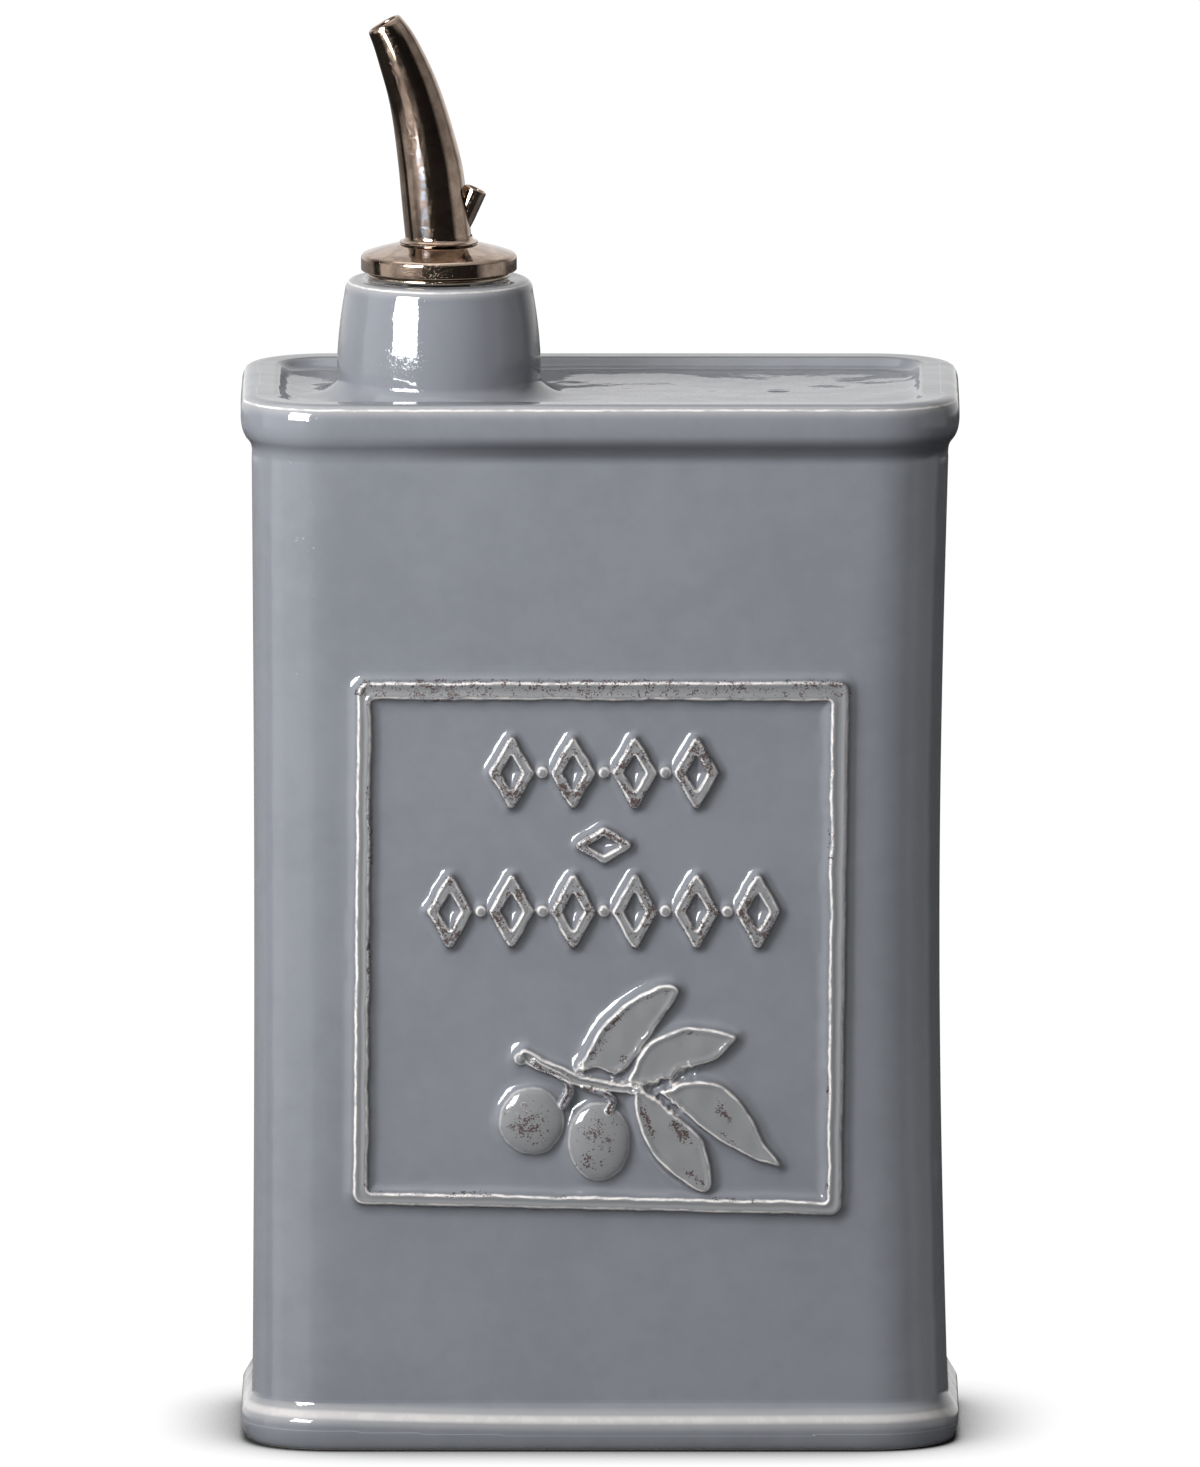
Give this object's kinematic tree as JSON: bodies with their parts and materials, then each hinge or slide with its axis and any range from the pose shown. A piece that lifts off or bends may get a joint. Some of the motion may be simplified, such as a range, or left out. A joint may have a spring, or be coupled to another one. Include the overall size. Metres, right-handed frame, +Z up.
{
  "type": "olive oil can",
  "caption": "Flat rectangular glazed ceramic oil can with a beaded rim and foot, an off-centre neck, a framed olive relief and a curved metal pourer in a ribbed stopper.",
  "frame": {"origin": "on the surface that the can stands on, under the middle of its box", "axes": "+Z up along the neck, -Y out of the relief panel, -X towards the side that the neck and spout are on"},
  "size_m": [0.1378, 0.0764, 0.2738],
  "materials": {
    "glaze": "glossy blue-grey glaze, thin and pale on raised edges",
    "stopper": "matte",
    "ring_metal": "polished",
    "pourer_metal": "polished, warm nickel tone, slightly worn"
  },
  "bodies": {
    "can": {"can_body": "glaze"},
    "stopper": {"stopper_sleeve": "stopper", "seat_ring": "ring_metal"},
    "pourer": {"stem_tube": "pourer_metal", "flange_cap": "pourer_metal", "spout_collar": "pourer_metal", "spout_tube": "pourer_metal", "breather_tube": "pourer_metal"}
  },
  "joints": [
    {"name": "stopper_pull", "type": "slide", "parent": "can", "child": "stopper", "axis": [0, 0, 1], "range_m": [0, 0.05]},
    {"name": "pourer_swivel", "type": "hinge", "parent": "stopper", "child": "pourer", "pos_m": [-0.0309, 0, 0.2219], "axis": [0, 0, 1], "continuous": true}
  ]
}
